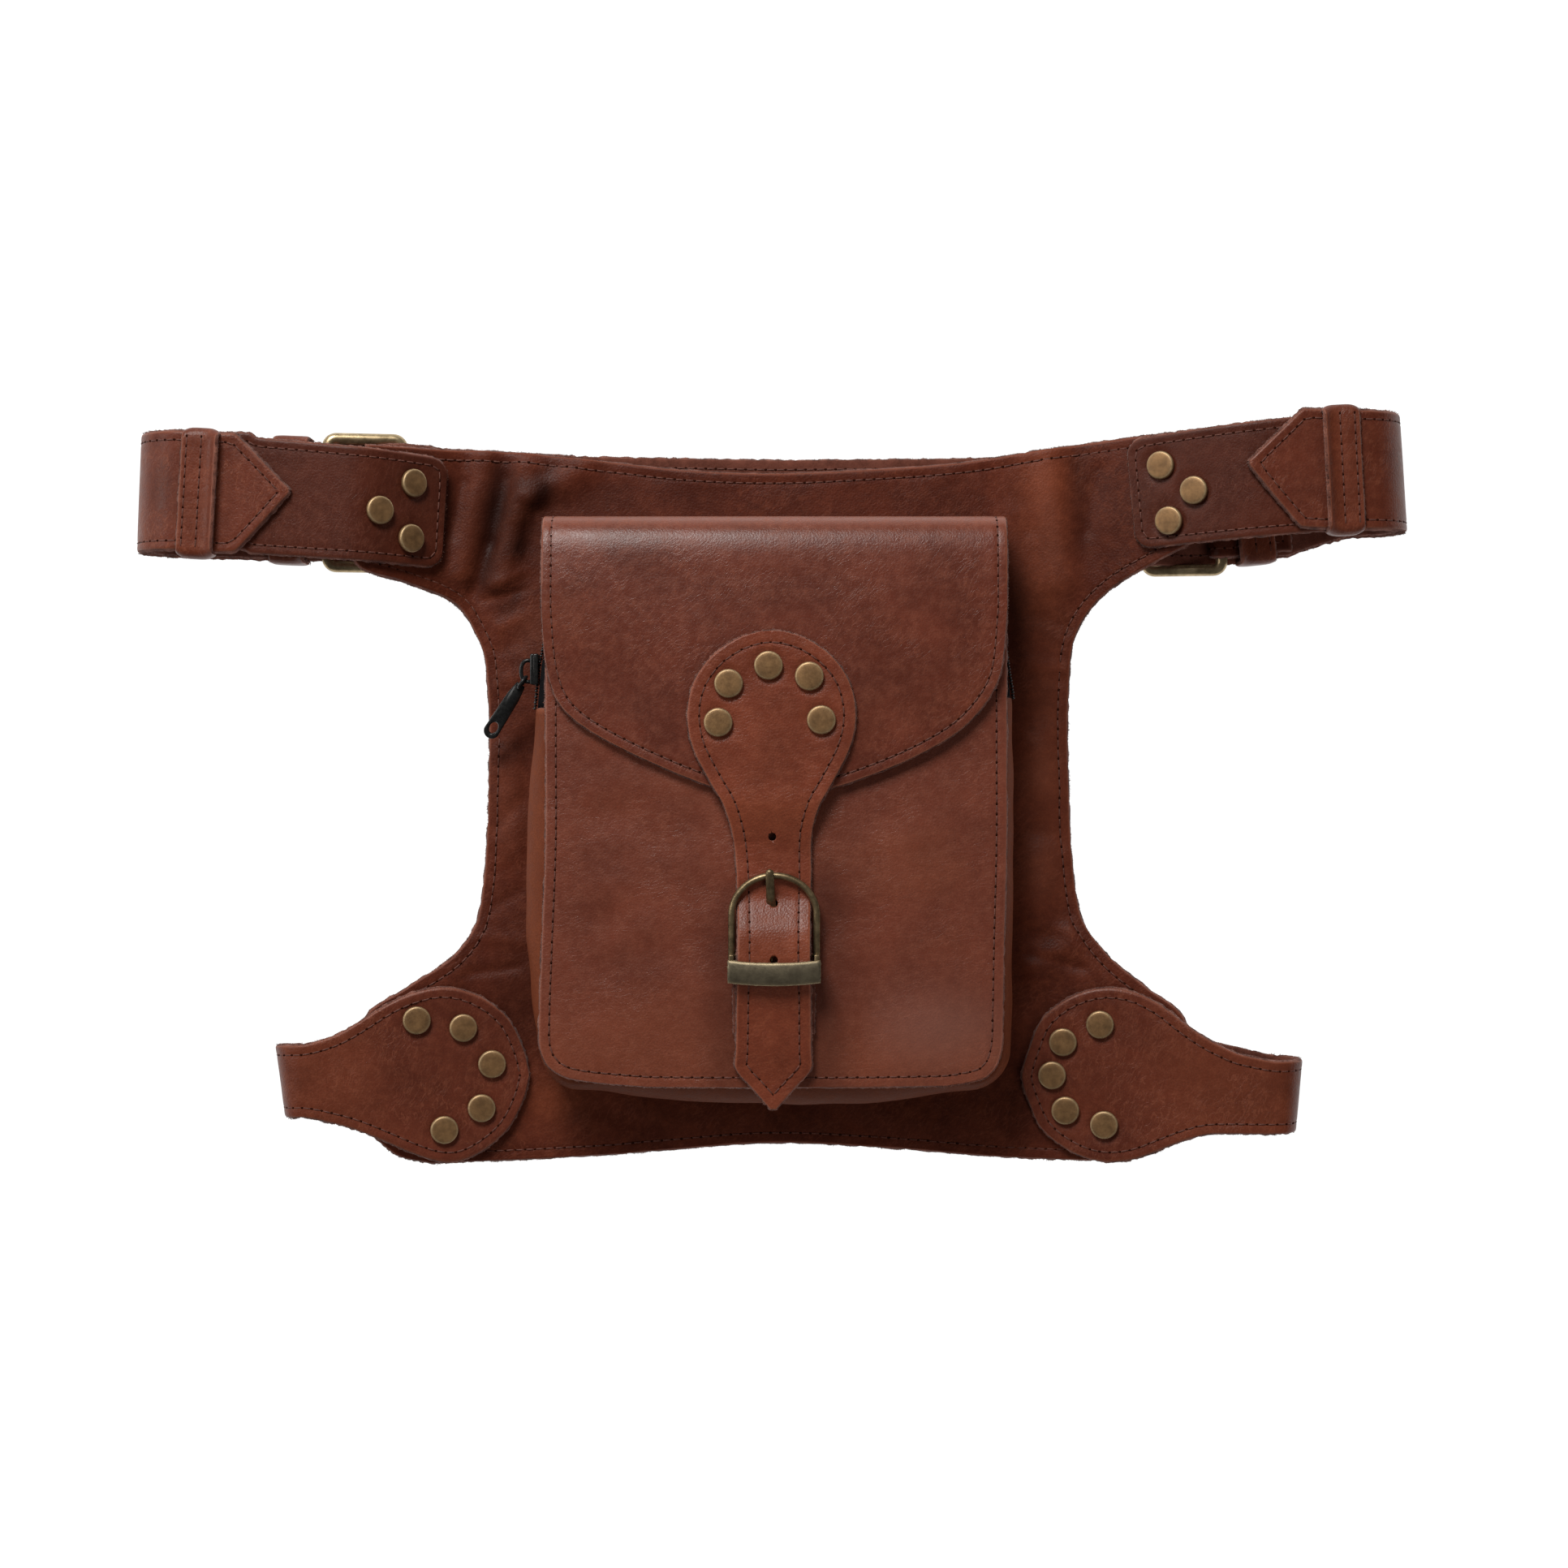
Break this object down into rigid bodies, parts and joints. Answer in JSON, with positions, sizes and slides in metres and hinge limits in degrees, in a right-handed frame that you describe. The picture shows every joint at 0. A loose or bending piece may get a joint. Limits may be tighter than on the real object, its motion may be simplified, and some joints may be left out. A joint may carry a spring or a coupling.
{
  "type": "leather belt bag with thigh strap",
  "caption": "Brown leather belt bag with zipped box pocket, strapped flap and riveted belt and thigh straps, lying on its back.",
  "frame": {"origin": "middle of the bag's footprint on the surface it lies on", "axes": "+X along the belt to the picture's right, +Y up the bag towards the belt, +Z out of the pocket's front"},
  "size_m": [0.4138, 0.2466, 0.0521],
  "materials": {
    "panel_leather": "worn pull-up leather, semi-gloss",
    "pocket_leather": "worn pull-up leather, semi-gloss",
    "flap_leather": "worn pull-up leather, semi-gloss",
    "strap_leather": "worn pull-up leather, raw edges",
    "antique_brass": "antique, dark patina with bright edges",
    "zip_fabric": "black woven zip tape",
    "zip_black": "black, glossy"
  },
  "bodies": {
    "bag": {"back_panel": "panel_leather", "belt_buckle_left": "antique_brass", "belt_buckle_right": "antique_brass", "belt_prong_left": "antique_brass", "belt_prong_right": "antique_brass", "belt_strap": "strap_leather", "buckle_strap_left": "strap_leather", "buckle_strap_right": "strap_leather", "flap_tongue": "flap_leather", "front_keeper_left": "strap_leather", "front_keeper_right": "strap_leather", "pocket_flap": "flap_leather", "pocket_front": "pocket_leather", "pocket_gusset": "pocket_leather", "rear_keeper_left": "strap_leather", "rear_keeper_right": "strap_leather", "rivet_lower_left_1": "antique_brass", "rivet_lower_left_2": "antique_brass", "rivet_lower_left_3": "antique_brass", "rivet_lower_left_4": "antique_brass", "rivet_lower_left_5": "antique_brass", "rivet_lower_right_1": "antique_brass", "rivet_lower_right_2": "antique_brass", "rivet_lower_right_3": "antique_brass", "rivet_lower_right_4": "antique_brass", "rivet_lower_right_5": "antique_brass", "rivet_tongue_1": "antique_brass", "rivet_tongue_2": "antique_brass", "rivet_tongue_3": "antique_brass", "rivet_tongue_4": "antique_brass", "rivet_tongue_5": "antique_brass", "rivet_upper_left_1": "antique_brass", "rivet_upper_left_2": "antique_brass", "rivet_upper_left_3": "antique_brass", "rivet_upper_right_1": "antique_brass", "rivet_upper_right_2": "antique_brass", "rivet_upper_right_3": "antique_brass", "thigh_strap": "strap_leather", "tongue_buckle": "antique_brass", "tongue_chape": "flap_leather", "tongue_prong": "antique_brass", "zip_coil": "zip_black", "zip_slider": "zip_black", "zip_tape": "zip_fabric"},
    "zip_pull": {"zip_pull": "zip_black"}
  },
  "joints": [
    {"name": "zip_pull_swing", "type": "hinge", "parent": "bag", "child": "zip_pull", "pos_m": [-0.07999, 0.03587, 0.02065], "axis": [0, 0, 1], "range_deg": [-85, 33]}
  ]
}
